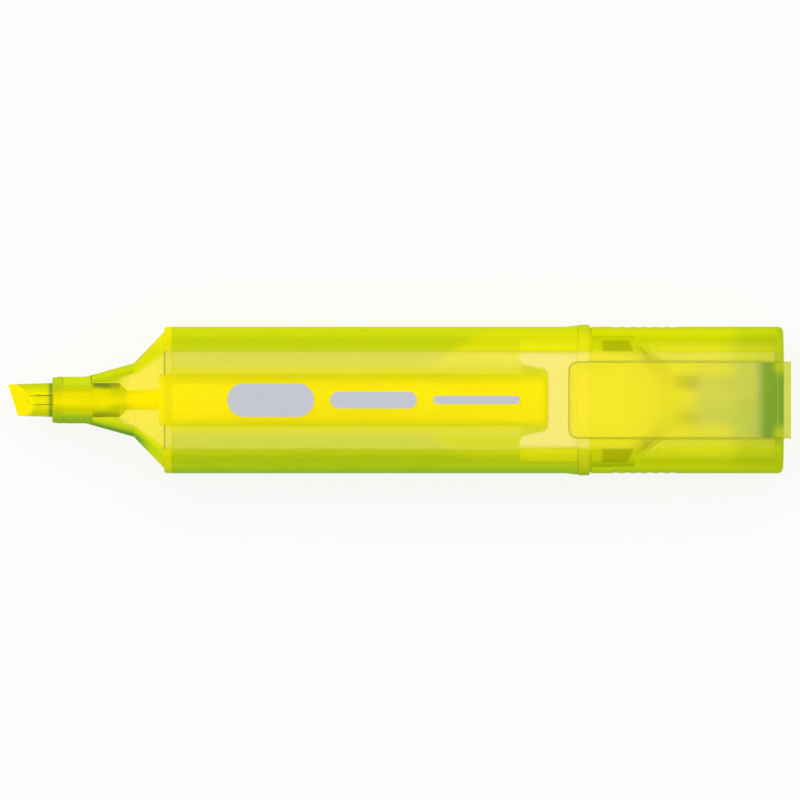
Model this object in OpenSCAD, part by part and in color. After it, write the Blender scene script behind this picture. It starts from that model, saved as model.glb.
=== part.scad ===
// Flat highlighter pen, cap posted on the rear end, all sizes in millimetres.
// X runs from the nib to the cap, Y across the width and Z up through the clip.
// The origin is at the middle of the length and width, on the surface the pen lies on.

/* [Body section] */
// Width of the barrel and of the cap
body_w = 22; // [20:0.5:26]
// Thickness of the barrel and of the cap
body_t = 14; // [12:0.5:16]
// Width of the flat face on top and underneath
flat_w = 14.6; // [13:0.2:16]
// Chamfer on the open edges of barrel, collar and cap
edge_cut = 0.25; // [0.1:0.05:0.3]

/* [Barrel] */
// Length of the barrel tube
barrel_len = 61.9; // [50:0.5:80]
// Wall of the barrel tube
barrel_wall = 1.4; // [1.2:0.1:1.8]
// How far the rear end of the barrel flares out
flare = 0.2; // [0.1:0.05:0.3]
// Length of the flare
flare_len = 1.8; // [1:0.2:3]
// Thickness of the centring ribs inside the barrel
rib_t = 0.5; // [0.4:0.1:0.8]
// Gap between a rib and the reservoir
rib_gap = 0.12; // [0.05:0.01:0.3]
// How far the ribs reach down beside the reservoir, from its axis
rib_reach = 1.8; // [1.4:0.1:2.4]
// Gap between the ribs and the pieces plugged into the barrel
rib_end_gap = 0.6; // [0.3:0.1:1.5]

/* [Front section] */
// Length of the round nose tube
nose_len = 5; // [4.5:0.1:8]
// Diameter of the round nose tube
nose_d = 7; // [6.4:0.1:7.6]
// Length of the lead-in at the front edge of the nose
nose_lead = 0.9; // [0.5:0.1:1.2]
// Drop of the lead-in at the front edge of the nose
nose_drop = 0.15; // [0.1:0.05:0.3]
// Length of the slim cone behind the nose tube
cone_len = 7.23; // [5:0.2:9]
// Width where the slim cone meets the shoulder
kink_w = 11.08; // [10:0.2:13]
// Thickness where the slim cone meets the shoulder
kink_t = 8.06; // [7.6:0.1:9]
// Length of the shoulder, up to the barrel
shoulder_len = 4.55; // [3.5:0.1:6]
// Length of the straight land in front of the barrel
land_len = 0.15; // [0.1:0.05:0.4]
// Wall of the front section
front_wall = 0.8; // [0.7:0.05:1]
// How far the nib's bore runs on into the slim cone
bore_past = 0.93; // [0.5:0.1:1.5]
// Length of the tongue plugged into the barrel
tongue_len = 1.3; // [1:0.1:3]
// Distance of the fine groove from the front edge of the nose
groove_back = 1.58; // [1:0.1:2.5]
// Width of the fine groove round the nose
groove_w = 0.3; // [0.2:0.05:0.4]
// Depth of the fine groove round the nose
groove_depth = 0.12; // [0.08:0.02:0.2]
// Thickness of the two fins that stop the reservoir
fin_t = 0.8; // [0.6:0.1:1.2]

/* [Nib] */
// Diameter of the nib
nib_d = 5.1; // [4.4:0.1:5.2]
// Diameter of the nib at its tip, before the chisel is cut
nib_tip_d = 4.7; // [4.2:0.1:4.9]
// How far the nib stands out of the nose
nib_out = 6.67; // [5.5:0.1:8]
// Length of the full nib body inside the nose
nib_in = 10.1; // [8:0.1:11]
// Angle of each chisel face to the nib's axis
bevel_angle = 38; // [30:1:45]
// Angle by which the writing edge is slanted
tip_slant = 17.5; // [0:0.5:25]
// Thickness of the writing edge
tip_edge_t = 0.5; // [0.3:0.05:0.8]
// Width of the air channel on each broad side
channel_w = 1.4; // [0.8:0.1:1.8]
// Depth of the air channel
channel_depth = 0.5; // [0.3:0.05:0.7]
// Diameter of the nib's tail
tail_d = 2.85; // [2.2:0.05:3.2]
// Length of the cone between nib body and tail
tail_cone_len = 1.05; // [0.6:0.05:1.5]
// How deep the tail reaches into the reservoir
tail_in = 5.9; // [4:0.1:10]

/* [Reservoir] */
// Outer diameter of the ink reservoir
reservoir_d = 7.8; // [7.2:0.1:8]
// Thickness of the film round the reservoir
film_t = 0.15; // [0.1:0.05:0.25]
// How far the reservoir stands forward of the barrel
reservoir_ahead = 0.65; // [0.3:0.05:1]
// Rounding of the reservoir's rear edge
reservoir_edge = 0.6; // [0.3:0.1:0.9]

/* [Rear plug] */
// How deep the plug goes into the barrel
plug_in = 8.55; // [7:0.1:10]
// How much narrower the fork is at its tips, on each side
fork_taper = 0.35; // [0.1:0.05:0.5]
// Depth of the fork's slot, which the reservoir is pushed into
slot_depth = 4.3; // [3:0.1:5]
// Width of the slot at its mouth
slot_w = 10.8; // [10:0.1:11.2]
// Width of the slot at its floor
slot_floor_w = 9.2; // [8.4:0.1:9.8]
// Rounding of the corners at the slot's floor
slot_corner = 0.6; // [0.4:0.1:1.4]
// Rounding of the inner edges at the tips of the fork
leg_round = 1; // [0.6:0.1:1.4]
// Thickness of the bulkhead behind the reservoir
bulkhead_t = 1.6; // [1.2:0.1:2.2]
// Wall of the hollow part of the plug
plug_wall = 1.2; // [1:0.1:1.6]
// Length of the collar between barrel and cap
collar_len = 1.95; // [1.5:0.05:3]
// How far the collar stands proud of the barrel
collar_proud = 0.3; // [0.2:0.05:0.5]
// Length of the narrow neck behind the collar
neck_len = 1.65; // [1.2:0.05:2.2]
// How much narrower the neck is than the post, on each side
neck_cut = 0.5; // [0.3:0.1:0.8]
// Length of the post that the cap is pushed on
post_len = 6.6; // [5.8:0.1:7.5]
// Length of the lead-in at the end of the post
lead_len = 1.4; // [1:0.1:1.8]
// Drop of the lead-in at the end of the post
lead_drop = 0.9; // [0.6:0.1:1.2]

/* [Cap] */
// Length of the cap
cap_len = 28.95; // [28.5:0.05:34]
// Wall of the cap
cap_wall = 0.8; // [0.7:0.05:1]
// Thickness of the closed end
cap_end_t = 1; // [0.9:0.05:1.2]
// Rounding of the edge round the closed end
cap_round = 0.75; // [0.4:0.05:0.8]
// Height of the ledge that stops the inner cap
ledge = 0.3; // [0.2:0.05:0.4]
// Number of grip flutes on each side
flutes = 6; // [4:1:6]
// Distance from one flute to the next
flute_pitch = 1.7; // [1.5:0.05:1.9]
// Width of a flute
flute_w = 1.35; // [0.8:0.05:1.4]
// Depth of a flute
flute_depth = 0.1; // [0.05:0.01:0.15]
// Height of the fluted area
flute_h = 8; // [5:0.5:9]
// Distance of the first flute from the cap's mouth
flute_start = 3.9; // [3:0.1:5]

/* [Inner cap] */
// Thickness of the rim flange
rim_t = 1; // [0.8:0.1:1.4]
// Wall of the funnel and the sleeve
inner_wall = 0.7; // [0.6:0.05:0.8]
// Width of the funnel at the rim
funnel_w = 18.6; // [17.6:0.1:18.8]
// Width of the funnel at its kink
funnel_kink_w = 11; // [10.4:0.1:12]
// Length from the rim to the funnel's kink
funnel_len = 4.8; // [4:0.1:5]
// Length from the funnel's kink to the sleeve
throat_len = 1.2; // [0.8:0.1:1.6]
// Length of the sleeve that seals on the nose
sleeve_len = 4.2; // [4.2:0.1:5]
// Inner diameter of the closed chamber for the nib
chamber_d = 6.1; // [5.8:0.1:6.4]
// Length of the chamber for the nib
chamber_len = 7.2; // [7:0.1:7.6]

/* [Clip] */
// Width of the clip
clip_w = 11.55; // [9:0.05:12]
// Thickness of the clip
clip_t = 1.4; // [1.2:0.05:1.8]
// Gap between the clip and the cap
clip_gap = 0.8; // [0.7:0.05:1.2]
// How far the clip reaches past the cap's mouth
clip_reach = 3.3; // [1:0.1:5]
// How far the clip stands out past the cap's closed end
clip_overhang = 1.05; // [0.5:0.05:2]
// Corner radius at the clip's tip
clip_corner = 1.4; // [1:0.05:3]
// Chamfer on the clip's upper edges
clip_edge = 0.3; // [0.1:0.05:0.5]
// Length of the chamfer at the clip's tip
tip_run = 0.6; // [0.3:0.1:1]
// Thickness of the clip's foot
foot_t = 2; // [1.6:0.1:2.6]
// How deep the foot sits in the cap
foot_depth = 1.9; // [1.6:0.1:2.4]
// Wall round the socket for the foot
socket_wall = 0.9; // [0.8:0.05:1.2]

/* [Fits] */
// Gap round pieces that are plugged into one another
plug_gap = 0.05; // [0.02:0.01:0.1]
// Gap between the cap and the post
post_gap = 0.1; // [0.06:0.01:0.2]
// Gap between the nose tube and the sleeve of the inner cap
seal_gap = 0.05; // [0.02:0.01:0.1]
// Gap round the clip's foot in its socket
foot_gap = 0.15; // [0.12:0.01:0.25]
// Gap between the end of the post and the inner cap
rim_gap = 0.15; // [0.1:0.05:0.3]

/* [Hidden] */
$fn = 96;

// Small overlap that lets a cut run clear through a face
eps = 0.2;

// Stations along the length, from the nib's tip to the clip's end
total_len = nib_out + nose_len + cone_len + shoulder_len + barrel_len
    + collar_len + cap_len + clip_overhang;
nib_tip_x = -total_len / 2;
nose_x = nib_tip_x + nib_out;
nose_end_x = nose_x + nose_len;
kink_x = nose_end_x + cone_len;
barrel_x = kink_x + shoulder_len;
collar_x = barrel_x + barrel_len;
mouth_x = collar_x + collar_len;
cap_end_x = mouth_x + cap_len;
clip_end_x = cap_end_x + clip_overhang;

// Flattened section: two side circles cut by the flat faces
axis_z = body_t / 2 + collar_proud;
top_z = axis_z + body_t / 2;
side_run = (body_w - flat_w) / 2;
side_r = (pow(body_t / 2, 2) + pow(side_run, 2)) / (2 * side_run);
side_y = body_w / 2 - side_r;

// Insets of the plugged pieces, measured from the outside of the body
shoulder_inset = cap_wall + plug_gap;
plug_inset = barrel_wall + plug_gap;
post_inset = cap_wall + post_gap;
neck_inset = post_inset + neck_cut;

// Front section: position, radius and half thickness, from the nose to the barrel
nose_r = nose_d / 2;
bore_r = nib_d / 2 + plug_gap;
shoulder_r = body_w / 2 - shoulder_inset;
shoulder_h = body_t / 2 - shoulder_inset;
shoulder_slope = (shoulder_r - kink_w / 2) / (shoulder_len - land_len);
cone_slope = (kink_w / 2 - nose_r) / cone_len;
front_stations = [
    [nose_x, nose_r - nose_drop, nose_r + plug_gap],
    [nose_x + nose_lead, nose_r, nose_r + plug_gap],
    [nose_end_x, nose_r, nose_r + plug_gap],
    [kink_x, kink_w / 2, kink_t / 2],
    [barrel_x - land_len, shoulder_r, shoulder_h],
    [barrel_x, shoulder_r + shoulder_slope * land_len, shoulder_h + land_len]
];
cone_offset = front_wall * sqrt(1 + pow(cone_slope, 2));
shoulder_offset = front_wall * sqrt(1 + pow(shoulder_slope, 2));
tongue_end_x = barrel_x + tongue_len;
bore_end_x = nose_end_x + bore_past;
step_r = nose_r + cone_slope * bore_past - cone_offset;
hollow_stations = [
    [nose_x - eps, bore_r, bore_r + eps],
    [bore_end_x, bore_r, bore_r + eps],
    [bore_end_x, step_r, step_r + eps],
    [kink_x, kink_w / 2 - cone_offset, kink_t / 2 - front_wall],
    [barrel_x, shoulder_r - shoulder_offset, shoulder_h - front_wall],
    [tongue_end_x + eps, shoulder_r, shoulder_h]
];

// Nib and reservoir
nib_body_x = nose_x + nib_in;
tail_x = nib_body_x + tail_cone_len;
reservoir_x = barrel_x - reservoir_ahead;
tail_end_x = reservoir_x + tail_in;
edge_mid_x = nib_tip_x + nib_tip_d / 2 * tan(tip_slant);
core_r = reservoir_d / 2 - film_t;
fork_x = collar_x - plug_in;
seat_x = fork_x + slot_depth;
bulkhead_x = seat_x + bulkhead_t;

// Ribs of the barrel, beside the reservoir
rib_y = sqrt(pow(reservoir_d / 2 + rib_gap, 2) - pow(rib_reach, 2));
rib_x = tongue_end_x + rib_end_gap;
rib_end_x = fork_x - rib_end_gap;

// Cap, inner cap and clip
post_x = mouth_x + neck_len;
post_end_x = mouth_x + post_len;
rim_x = post_end_x + rim_gap;
ledge_x = rim_x + rim_t;
cap_floor_x = cap_end_x - cap_end_t;
sleeve_r = nose_r + seal_gap;
sleeve_outer_r = sleeve_r + inner_wall;
funnel_h = body_t / 2 - cap_wall - ledge - plug_gap;
funnel_kink_x = rim_x + funnel_len;
sleeve_x = funnel_kink_x + throat_len;
sleeve_end_x = sleeve_x + sleeve_len;
chamber_r = chamber_d / 2;
chamber_outer_r = chamber_r + inner_wall;
chamber_end_x = sleeve_end_x + chamber_len;
funnel_slope = (funnel_w - funnel_kink_w) / 2 / funnel_len;
funnel_stations = [
    [rim_x, funnel_w / 2, funnel_h],
    [funnel_kink_x, funnel_kink_w / 2, funnel_h],
    [sleeve_x, sleeve_outer_r, sleeve_outer_r + plug_gap],
    [sleeve_end_x, sleeve_outer_r, sleeve_outer_r + plug_gap],
    [sleeve_end_x + inner_wall, chamber_outer_r, chamber_outer_r + plug_gap],
    [chamber_end_x + inner_wall, chamber_outer_r, chamber_outer_r + plug_gap]
];
funnel_offset = inner_wall * sqrt(1 + pow(funnel_slope, 2));
funnel_bore = [
    [rim_x - eps, funnel_w / 2 - funnel_offset + funnel_slope * eps, funnel_h - inner_wall],
    [funnel_kink_x, funnel_kink_w / 2 - funnel_offset, funnel_h - inner_wall],
    [sleeve_x, sleeve_r, sleeve_r + plug_gap],
    [sleeve_end_x, sleeve_r, sleeve_r + plug_gap],
    [sleeve_end_x, chamber_r, chamber_r + plug_gap],
    [chamber_end_x, chamber_r, chamber_r + plug_gap]
];
foot_end_x = cap_floor_x;
foot_x = foot_end_x - foot_t;
foot_z = top_z - foot_depth;
clip_z = top_z + clip_gap;
clip_top_z = clip_z + clip_t;
clip_x = mouth_x - clip_reach;

// Colours of the plastics and the ink, as seen in daylight
shell_colour = [0.80, 0.86, 0.10, 0.75];
plug_colour = [0.93, 0.90, 0.35];
ink_colour = [1.00, 0.92, 0.05];

// Turns a shape drawn along Z so that it lies along X on the pen's axis
module on_axis() {
    translate([0, 0, axis_z]) rotate([0, 90, 0]) children();
}

// Turns an outline drawn in X and Z into a plate across the whole width
module across(width) {
    translate([0, width / 2, 0]) rotate([90, 0, 0]) linear_extrude(width) children();
}

// Body section drawn through stations [x, inset], two of them at one x where it steps
module body_form(stations) {
    last = len(stations) - 1;
    x0 = stations[0][0];
    span = stations[last][0] - x0;
    intersection() {
        translate([0, 0, axis_z])
            across(2 * body_w)
                polygon(concat(
                    [for (s = stations) [s[0], body_t / 2 - s[1]]],
                    [for (i = [last:-1:0]) [stations[i][0], stations[i][1] - body_t / 2]]
                ));
        union() {
            for (side = [0, 1])
                mirror([0, side, 0])
                    intersection() {
                        translate([0, side_y, 0])
                            on_axis()
                                rotate_extrude()
                                    polygon(concat(
                                        [[0, x0]],
                                        [for (s = stations) [side_r - s[1], s[0]]],
                                        [[0, stations[last][0]]]
                                    ));
                        translate([x0 - eps, 0, axis_z - body_t])
                            cube([span + 2 * eps, body_w, 2 * body_t]);
                    }
            if (side_y > 0)
                translate([x0 - eps, -side_y, axis_z - body_t])
                    cube([span + 2 * eps, 2 * side_y, 2 * body_t]);
        }
    }
}

// Body section with the same inset all along
module straight(x0, x1, k) {
    body_form([[x0, k], [x1, k]]);
}

// Round form through stations [x, radius, half thickness], cut flat above and below
module flattened(stations) {
    last = len(stations) - 1;
    intersection() {
        on_axis()
            rotate_extrude()
                polygon(concat(
                    [[0, stations[0][0]]],
                    [for (s = stations) [s[1], s[0]]],
                    [[0, stations[last][0]]]
                ));
        translate([0, 0, axis_z])
            across(2 * body_w)
                polygon(concat(
                    [for (s = stations) [s[0], s[2]]],
                    [for (i = [last:-1:0]) [stations[i][0], -stations[i][2]]]
                ));
    }
}

// Flattened see-through tube with a slight flare at the rear and four centring ribs
module barrel() {
    flare_x = collar_x - flare_len;
    color(shell_colour) {
        difference() {
            body_form([
                [barrel_x, edge_cut], [barrel_x + edge_cut, 0],
                [flare_x, 0], [collar_x, -flare]
            ]);
            straight(barrel_x - eps, collar_x + eps, barrel_wall);
        }
        intersection() {
            straight(rib_x, rib_end_x, barrel_wall / 2);
            union() {
                for (side = [-1, 1], up = [-1, 1])
                    translate([
                        rib_x,
                        side > 0 ? rib_y : -rib_y - rib_t,
                        up > 0 ? axis_z + rib_reach : axis_z - body_t
                    ])
                        cube([rib_end_x - rib_x, rib_t, body_t - rib_reach]);
            }
        }
    }
}

// Shoulder and nose tube, with a tongue for the barrel and two fins for the reservoir
module front_section() {
    color(shell_colour) {
        difference() {
            union() {
                intersection() {
                    flattened(front_stations);
                    straight(nose_x, barrel_x, shoulder_inset);
                }
                straight(barrel_x - land_len, tongue_end_x, plug_inset);
            }
            intersection() {
                flattened(hollow_stations);
                straight(nose_x - eps, tongue_end_x + eps, plug_inset + front_wall);
            }
            nose_groove();
        }
        fins();
    }
}

// Fine groove round the nose tube, a V in section
module nose_groove() {
    half = groove_w / 2;
    rise = half * (groove_depth + eps) / groove_depth;
    on_axis()
        translate([0, 0, nose_x + groove_back + half])
            rotate_extrude()
                polygon([
                    [nose_r - groove_depth, 0], [nose_r + eps, -rise], [nose_r + eps, rise]
                ]);
}

// Two upright fins inside the shoulder that the reservoir's front face rests on
module fins() {
    difference() {
        intersection() {
            flattened(front_stations);
            straight(nose_x, barrel_x, shoulder_inset + front_wall / 2);
            translate([tail_x, -fin_t / 2, 0])
                cube([reservoir_x - tail_x, fin_t, axis_z * 2]);
        }
        on_axis() translate([0, 0, tail_x - eps]) cylinder(h = barrel_x - tail_x, r = bore_r);
    }
}

// Chisel nib: turned rod with a tail, two bevels, a slanted edge and two air channels
module nib() {
    nib_r = nib_d / 2;
    reach = 2 * nib_d;
    color(ink_colour)
        difference() {
            on_axis()
                rotate_extrude()
                    polygon([
                        [0, nib_tip_x], [nib_tip_d / 2, nib_tip_x], [nib_r, nose_x],
                        [nib_r, nib_body_x], [tail_d / 2, tail_x], [tail_d / 2, tail_end_x],
                        [0, tail_end_x]
                    ]);
            translate([edge_mid_x, 0, axis_z])
                rotate([0, 0, tip_slant]) {
                    translate([-reach, -reach, -reach]) cube([reach, 2 * reach, 2 * reach]);
                    for (up = [0, 1])
                        mirror([0, 0, up])
                            translate([0, -reach, tip_edge_t / 2])
                                rotate([0, -bevel_angle, 0])
                                    translate([-reach, 0, 0])
                                        cube([3 * reach, 2 * reach, reach]);
                }
            for (up = [-1, 1])
                translate([
                    nib_tip_x - eps,
                    -channel_w / 2,
                    up > 0 ? axis_z + nib_r - channel_depth : axis_z - nib_r - eps
                ])
                    cube([nib_body_x - nib_tip_x + eps, channel_w, channel_depth + eps]);
        }
}

// Fibre core with a blind hole for the nib's tail
module reservoir_core() {
    color(ink_colour)
        difference() {
            on_axis()
                rotate_extrude()
                    polygon([
                        [0, reservoir_x], [core_r, reservoir_x], [core_r, seat_x - reservoir_edge],
                        [core_r - reservoir_edge, seat_x], [0, seat_x]
                    ]);
            on_axis()
                translate([0, 0, reservoir_x - eps])
                    cylinder(h = tail_in + 2 * eps, r = tail_d / 2 + plug_gap);
        }
}

// Thin film round the fibre core
module reservoir_film() {
    color(ink_colour)
        on_axis()
            translate([0, 0, reservoir_x])
                rotate_extrude()
                    translate([core_r, 0])
                        square([film_t, seat_x - reservoir_edge - reservoir_x]);
}

// Rear plug: fork that takes the reservoir, collar, neck and the post for the cap
module rear_plug() {
    color(plug_colour)
        difference() {
            body_form([
                [fork_x, plug_inset + fork_taper], [collar_x, plug_inset],
                [collar_x, edge_cut - collar_proud], [collar_x + edge_cut, -collar_proud],
                [mouth_x - edge_cut, -collar_proud], [mouth_x, edge_cut - collar_proud],
                [mouth_x, neck_inset], [post_x, neck_inset], [post_x, post_inset],
                [post_end_x - lead_len, post_inset], [post_end_x, post_inset + lead_drop]
            ]);
            linear_extrude(2 * axis_z) fork_slot();
            plug_hollow();
        }
}

// Hollow of the rear plug, full width up to the neck and between two side rails after it
module plug_hollow() {
    intersection() {
        straight(bulkhead_x, post_end_x + eps, plug_inset + plug_wall);
        union() {
            translate([bulkhead_x - eps, -body_w / 2, 0])
                cube([post_x - bulkhead_x + eps, body_w, 2 * axis_z]);
            translate([bulkhead_x - eps, -flat_w / 2, 0])
                cube([post_end_x - bulkhead_x + 3 * eps, flat_w, 2 * axis_z]);
        }
    }
}

// Plan of the fork's slot: slightly tapered, round at its floor and at the tips
module fork_slot() {
    corner_x = seat_x - slot_corner;
    corner_y = slot_floor_w / 2 - slot_corner;
    tip_x = fork_x + leg_round;
    polygon([
        [fork_x - eps, -slot_w / 2], [tip_x, -slot_w / 2], [corner_x, -slot_floor_w / 2],
        [corner_x, slot_floor_w / 2], [tip_x, slot_w / 2], [fork_x - eps, slot_w / 2]
    ]);
    translate([tip_x, -corner_y]) square([seat_x - tip_x, 2 * corner_y]);
    for (side = [0, 1])
        mirror([0, side]) {
            translate([corner_x, corner_y]) circle(r = slot_corner);
            difference() {
                translate([fork_x - eps, 0]) square([leg_round + eps, slot_w / 2 + leg_round]);
                translate([tip_x, slot_w / 2 + leg_round]) circle(r = leg_round);
            }
        }
}

// See-through cap: rounded closed end, ledge for the inner cap, socket and grip flutes
module cap() {
    color(shell_colour)
        difference() {
            union() {
                difference() {
                    cap_outside();
                    body_form([
                        [mouth_x - eps, cap_wall], [ledge_x, cap_wall],
                        [ledge_x, cap_wall + ledge], [cap_floor_x, cap_wall + ledge]
                    ]);
                }
                clip_socket();
            }
            clip_hole();
            grip_flutes();
        }
}

// Outside of the cap, with an arc of three steps round the closed end
module cap_outside() {
    steps = 3;
    round_x = cap_end_x - cap_round;
    body_form(concat(
        [[mouth_x, edge_cut], [mouth_x + edge_cut, 0]],
        [for (i = [0:steps])
            let (a = i * 90 / steps)
            [round_x + cap_round * sin(a), cap_round * (1 - cos(a))]]
    ));
}

// Thickening under the cap's top wall that holds the clip's foot
module clip_socket() {
    half_w = clip_w / 2 + foot_gap + socket_wall;
    low_z = foot_z - foot_gap - socket_wall;
    front_x = foot_x - foot_gap - socket_wall;
    translate([front_x, -half_w, low_z])
        cube([cap_floor_x + cap_end_t / 2 - front_x, 2 * half_w, top_z - cap_wall / 2 - low_z]);
}

// Hole for the clip's foot, open at the top only
module clip_hole() {
    translate([foot_x - foot_gap, -clip_w / 2 - foot_gap, foot_z - foot_gap])
        cube([foot_t + 2 * foot_gap, clip_w + 2 * foot_gap, foot_depth + foot_gap + eps]);
}

// Shallow flutes bent round both narrow sides of the cap
module grip_flutes() {
    flute_r = (pow(flute_w / 2, 2) + pow(flute_depth, 2)) / (2 * flute_depth);
    for (side = [0, 1])
        mirror([0, side, 0])
            intersection() {
                translate([mouth_x, flat_w / 2, axis_z - flute_h / 2])
                    cube([cap_len, body_w, flute_h]);
                union() {
                    for (i = [0:flutes - 1])
                        translate([mouth_x + flute_start + i * flute_pitch, side_y, axis_z])
                            rotate([0, 90, 0])
                                rotate_extrude()
                                    translate([side_r - flute_depth + flute_r, 0])
                                        circle(r = flute_r);
                }
            }
}

// Seal insert: rim flange, flattened funnel, sleeve for the nose tube, chamber for the nib
module inner_cap() {
    color(plug_colour)
        difference() {
            union() {
                straight(rim_x, ledge_x, cap_wall + plug_gap);
                intersection() {
                    flattened(funnel_stations);
                    straight(rim_x, chamber_end_x + inner_wall, cap_wall + ledge + plug_gap);
                }
            }
            flattened(funnel_bore);
        }
}

// Clip: rounded plate with chamfered edges and a foot, cut from its side profile
module clip() {
    color(shell_colour)
        intersection() {
            across(2 * body_w)
                polygon([
                    [clip_x, clip_z + clip_t / 2], [clip_x + clip_t / 2, clip_z],
                    [foot_x, clip_z], [foot_x, foot_z], [foot_end_x, foot_z],
                    [foot_end_x, clip_z], [clip_end_x, clip_z], [clip_end_x, clip_top_z],
                    [clip_x + tip_run, clip_top_z], [clip_x, clip_top_z - clip_edge]
                ]);
            linear_extrude(clip_top_z) clip_outline();
            translate([clip_x, 0, 0])
                rotate([90, 0, 90])
                    linear_extrude(clip_end_x - clip_x)
                        polygon([
                            [-clip_w / 2, 0], [clip_w / 2, 0],
                            [clip_w / 2, clip_top_z - clip_edge],
                            [clip_w / 2 - clip_edge, clip_top_z],
                            [clip_edge - clip_w / 2, clip_top_z],
                            [-clip_w / 2, clip_top_z - clip_edge]
                        ]);
        }
}

// Plan of the clip, with two round corners at its tip
module clip_outline() {
    corner_y = clip_w / 2 - clip_corner;
    for (side = [-1, 1])
        translate([clip_x + clip_corner, side * corner_y]) circle(r = clip_corner);
    translate([clip_x, -corner_y]) square([clip_end_x - clip_x, 2 * corner_y]);
    translate([clip_x + clip_corner, -clip_w / 2])
        square([clip_end_x - clip_x - clip_corner, clip_w]);
}

barrel();
front_section();
nib();
reservoir_core();
reservoir_film();
rear_plug();
cap();
inner_cap();
clip();
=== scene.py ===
"""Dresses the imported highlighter: see-through shells, soaked fibre, print, light and camera.

Masks are written in millimetres: x runs along the pen from the nib to the cap, across is the
distance from its middle plane, and the near side is the one with negative y.
"""

import math

import bmesh
import bpy
from bpy.props import FloatProperty, FloatVectorProperty, IntProperty, PointerProperty
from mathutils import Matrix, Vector


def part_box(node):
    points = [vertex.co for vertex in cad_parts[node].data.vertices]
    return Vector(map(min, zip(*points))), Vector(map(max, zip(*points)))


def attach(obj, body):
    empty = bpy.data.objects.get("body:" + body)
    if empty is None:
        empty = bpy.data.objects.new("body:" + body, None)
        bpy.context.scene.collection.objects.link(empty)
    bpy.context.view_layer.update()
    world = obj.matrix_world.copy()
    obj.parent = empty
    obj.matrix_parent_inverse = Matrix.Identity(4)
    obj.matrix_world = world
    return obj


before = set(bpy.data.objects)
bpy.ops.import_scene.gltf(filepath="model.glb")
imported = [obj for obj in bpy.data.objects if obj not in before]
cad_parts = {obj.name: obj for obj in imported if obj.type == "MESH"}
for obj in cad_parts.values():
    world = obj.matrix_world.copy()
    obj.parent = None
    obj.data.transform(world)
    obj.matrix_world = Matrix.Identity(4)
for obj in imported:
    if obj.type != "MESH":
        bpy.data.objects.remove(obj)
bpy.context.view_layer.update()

bl_info = {
    "name": "Highlighter Finishes",
    "version": (1, 0, 0),
    "blender": (4, 5, 0),
    "location": "View3D > Sidebar > Highlighter",
    "description": "Finishes, print, light and camera for a flat see-through highlighter",
    "category": "Material",
}

MM = 0.001
BARREL_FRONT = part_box("barrel")[0].x

# Heights above the table and half widths across the pen, in millimetres
AXIS_HEIGHT = 7.3
FLAT_HEIGHT = 14.3
HALF_FLAT = 7.15
HALF_CLIP = 5.775

# Stations along the pen from the nib to the cap, in millimetres
CHANNEL_END = -54.9
NOSE_END = -51.9
GROOVE = -50.5
TUBE_END = -46.0
LENS_START = -45.7
LENS_END = -41.9
NIB_END = -41.1
KINK = -39.8
SEAM = -35.0
TONGUE_END = -33.9
FORK_TIPS = 18.05
RESERVOIR_END = 22.2
SLOT_FLOOR = 22.35
CLIP_FRONT = 25.35
COLLAR = 26.6
POST = 28.5
RAIL = 30.3
POST_END = 35.1
SLEEVE = 41.6
CAP_END = 57.5

# Slanted edges: their rise across the pen for each millimetre along it
SHOULDER_SLANT = -0.693
CONE_SLANT = -0.36
SLOT_SLANT = 0.186
FUNNEL_SLANT = 0.79
RAIL_SLANT = 2.0

# Slanted edges: where they would cross the station x = 0, and radii of rounded corners
SHOULDER_EDGE = 31.4
SLOT_EDGE = 8.757
SLOT_ROUND = 0.8
TIP_ROUND = 1.0
CLIP_ROUND = 1.4

# Shares of the plastic's make: cover where a wall turns away, how much clearer it is upright
SOLID = 0.97
WINDOW = 0.5
SIDE_GLOSS = 0.04
FLAT_GLOSS = 0.22
# Where the painted shade on the near edge is full
NEAR_SHADE_END = 0.95
TINT = (0.995, 0.995, 0.55)

# Print: film of ink above the flat in millimetres, points round an end, spread of the flakes
INK_LOW = 0.004
INK_HIGH = 0.02
END_STEPS = 16
FLAKE = 0.2

# Stage, in metres, with the camera's offset along the pen in millimetres
FLOOR_HALF = 12.0
LAMP_SIZE = (1.2, 0.9)
LAMP_PLACE = (-0.05, 0.3, 0.85)
EYE_OFFSET = 0.15
SENSOR = 36.0
CLEAR_LAYERS = 32
WHITE = (1.0, 1.0, 1.0, 1.0)


def dye(red, green, blue):
    """Scene-linear colour from 8-bit screen values."""
    parts = (c / 255.0 for c in (red, green, blue))
    return tuple(c / 12.92 if c <= 0.04045 else ((c + 0.055) / 1.055) ** 2.4 for c in parts)


def colour(name, description, default):
    """A colour property in scene-linear values."""
    return FloatVectorProperty(
        name=name, description=description, default=default, subtype="COLOR", min=0.0, max=1.0
    )


def share(name, description, default):
    """A factor property from nothing to full."""
    return FloatProperty(
        name=name, description=description, default=default, subtype="FACTOR", min=0.0, max=1.0
    )


def length(name, description, default):
    """A length property, in metres."""
    return FloatProperty(
        name=name,
        description=description,
        default=default,
        subtype="DISTANCE",
        unit="LENGTH",
        precision=5,
    )


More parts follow.
